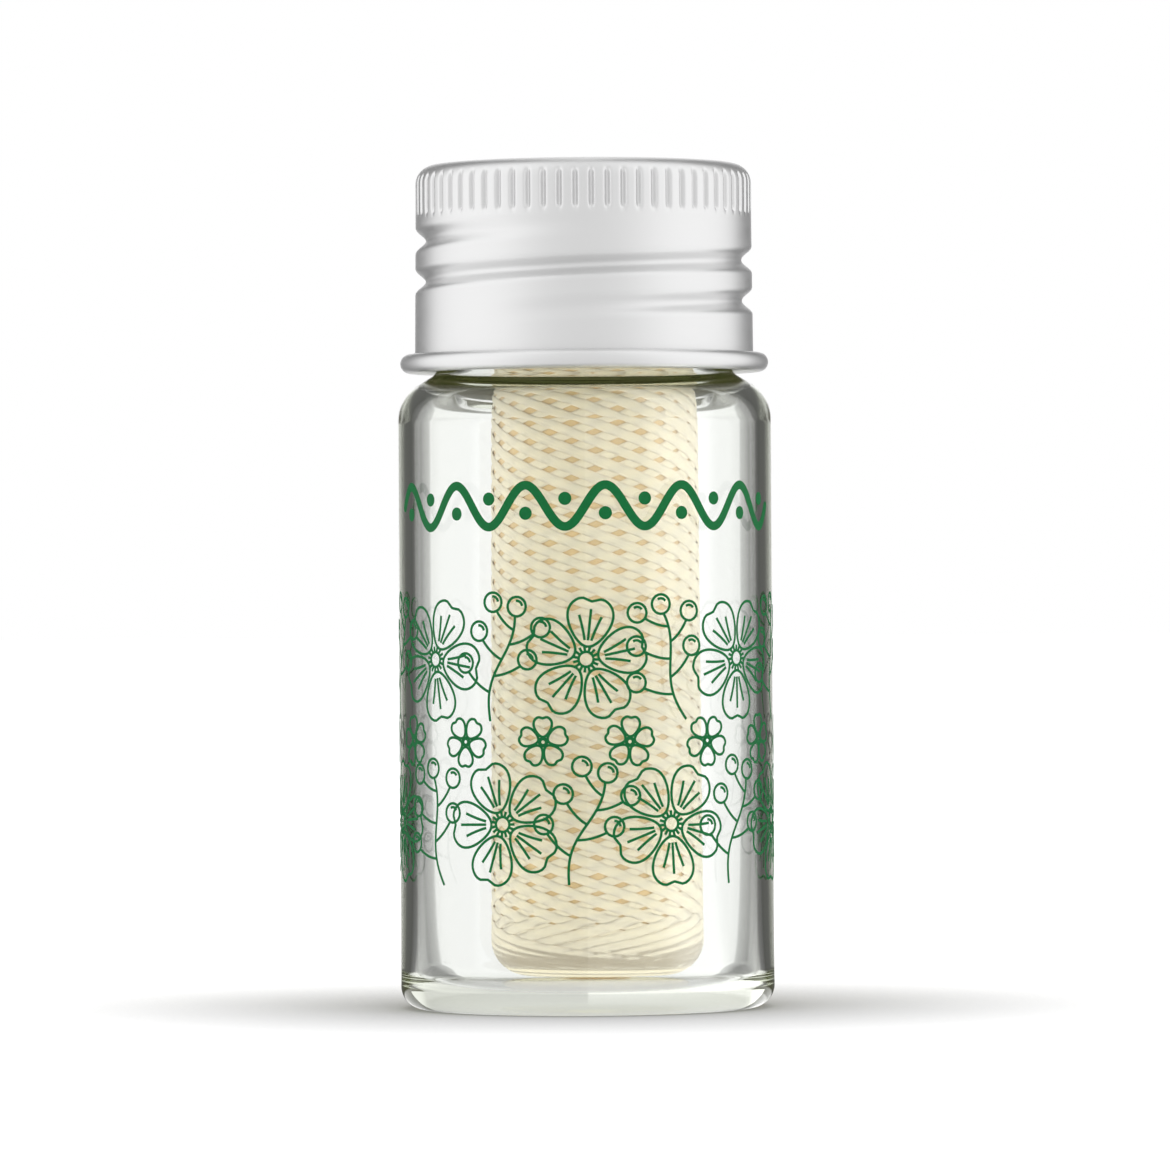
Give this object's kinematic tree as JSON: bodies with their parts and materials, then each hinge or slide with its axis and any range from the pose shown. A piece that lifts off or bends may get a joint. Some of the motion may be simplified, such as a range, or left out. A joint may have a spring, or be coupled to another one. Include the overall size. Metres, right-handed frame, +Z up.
{
  "type": "dental floss dispenser",
  "caption": "Refillable dental floss dispenser: screw-necked glass jar holding a cross-wound floss package, pressed steel insert with floss hole and cutter, and aluminium screw cap.",
  "frame": {"origin": "centre of the jar's foot, at the plane that it stands on", "axes": "+Z up along the jar's axis, towards the cap; the front of the print faces -Y; the cutter points to +X"},
  "size_m": [0.0266, 0.0266, 0.06],
  "materials": {
    "glass": "clear flint glass, fire polished",
    "steel": "pressed and tumbled",
    "floss": "waxed twisted yarn",
    "aluminium": "satin, clear lacquered",
    "foam": "closed-cell foam"
  },
  "bodies": {
    "jar": {"glass_jar": "glass", "dispenser_insert": "steel", "floss_tail": "floss"},
    "liner": {"cap_liner": "foam"},
    "cap": {"cap_shell": "aluminium"},
    "package": {"floss_core": "floss", "floss_winding": "floss"}
  },
  "joints": [
    {"name": "cap_lift", "type": "slide", "parent": "jar", "child": "liner", "axis": [0, 0, 1], "range_m": [0, 0.01741]},
    {"name": "cap_turn", "type": "hinge", "parent": "liner", "child": "cap", "pos_m": [0, 0, 0.0592], "axis": [0, 0, 1], "range_deg": [0, 2160]},
    {"name": "package_spin", "type": "hinge", "parent": "jar", "child": "package", "pos_m": [0.0007, 0, 0.0023], "axis": [0, 0, 1], "continuous": true}
  ],
  "couplings": [
    {"joint": "cap_lift", "follows": "cap_turn", "m_per_rad": 0.00046155}
  ]
}
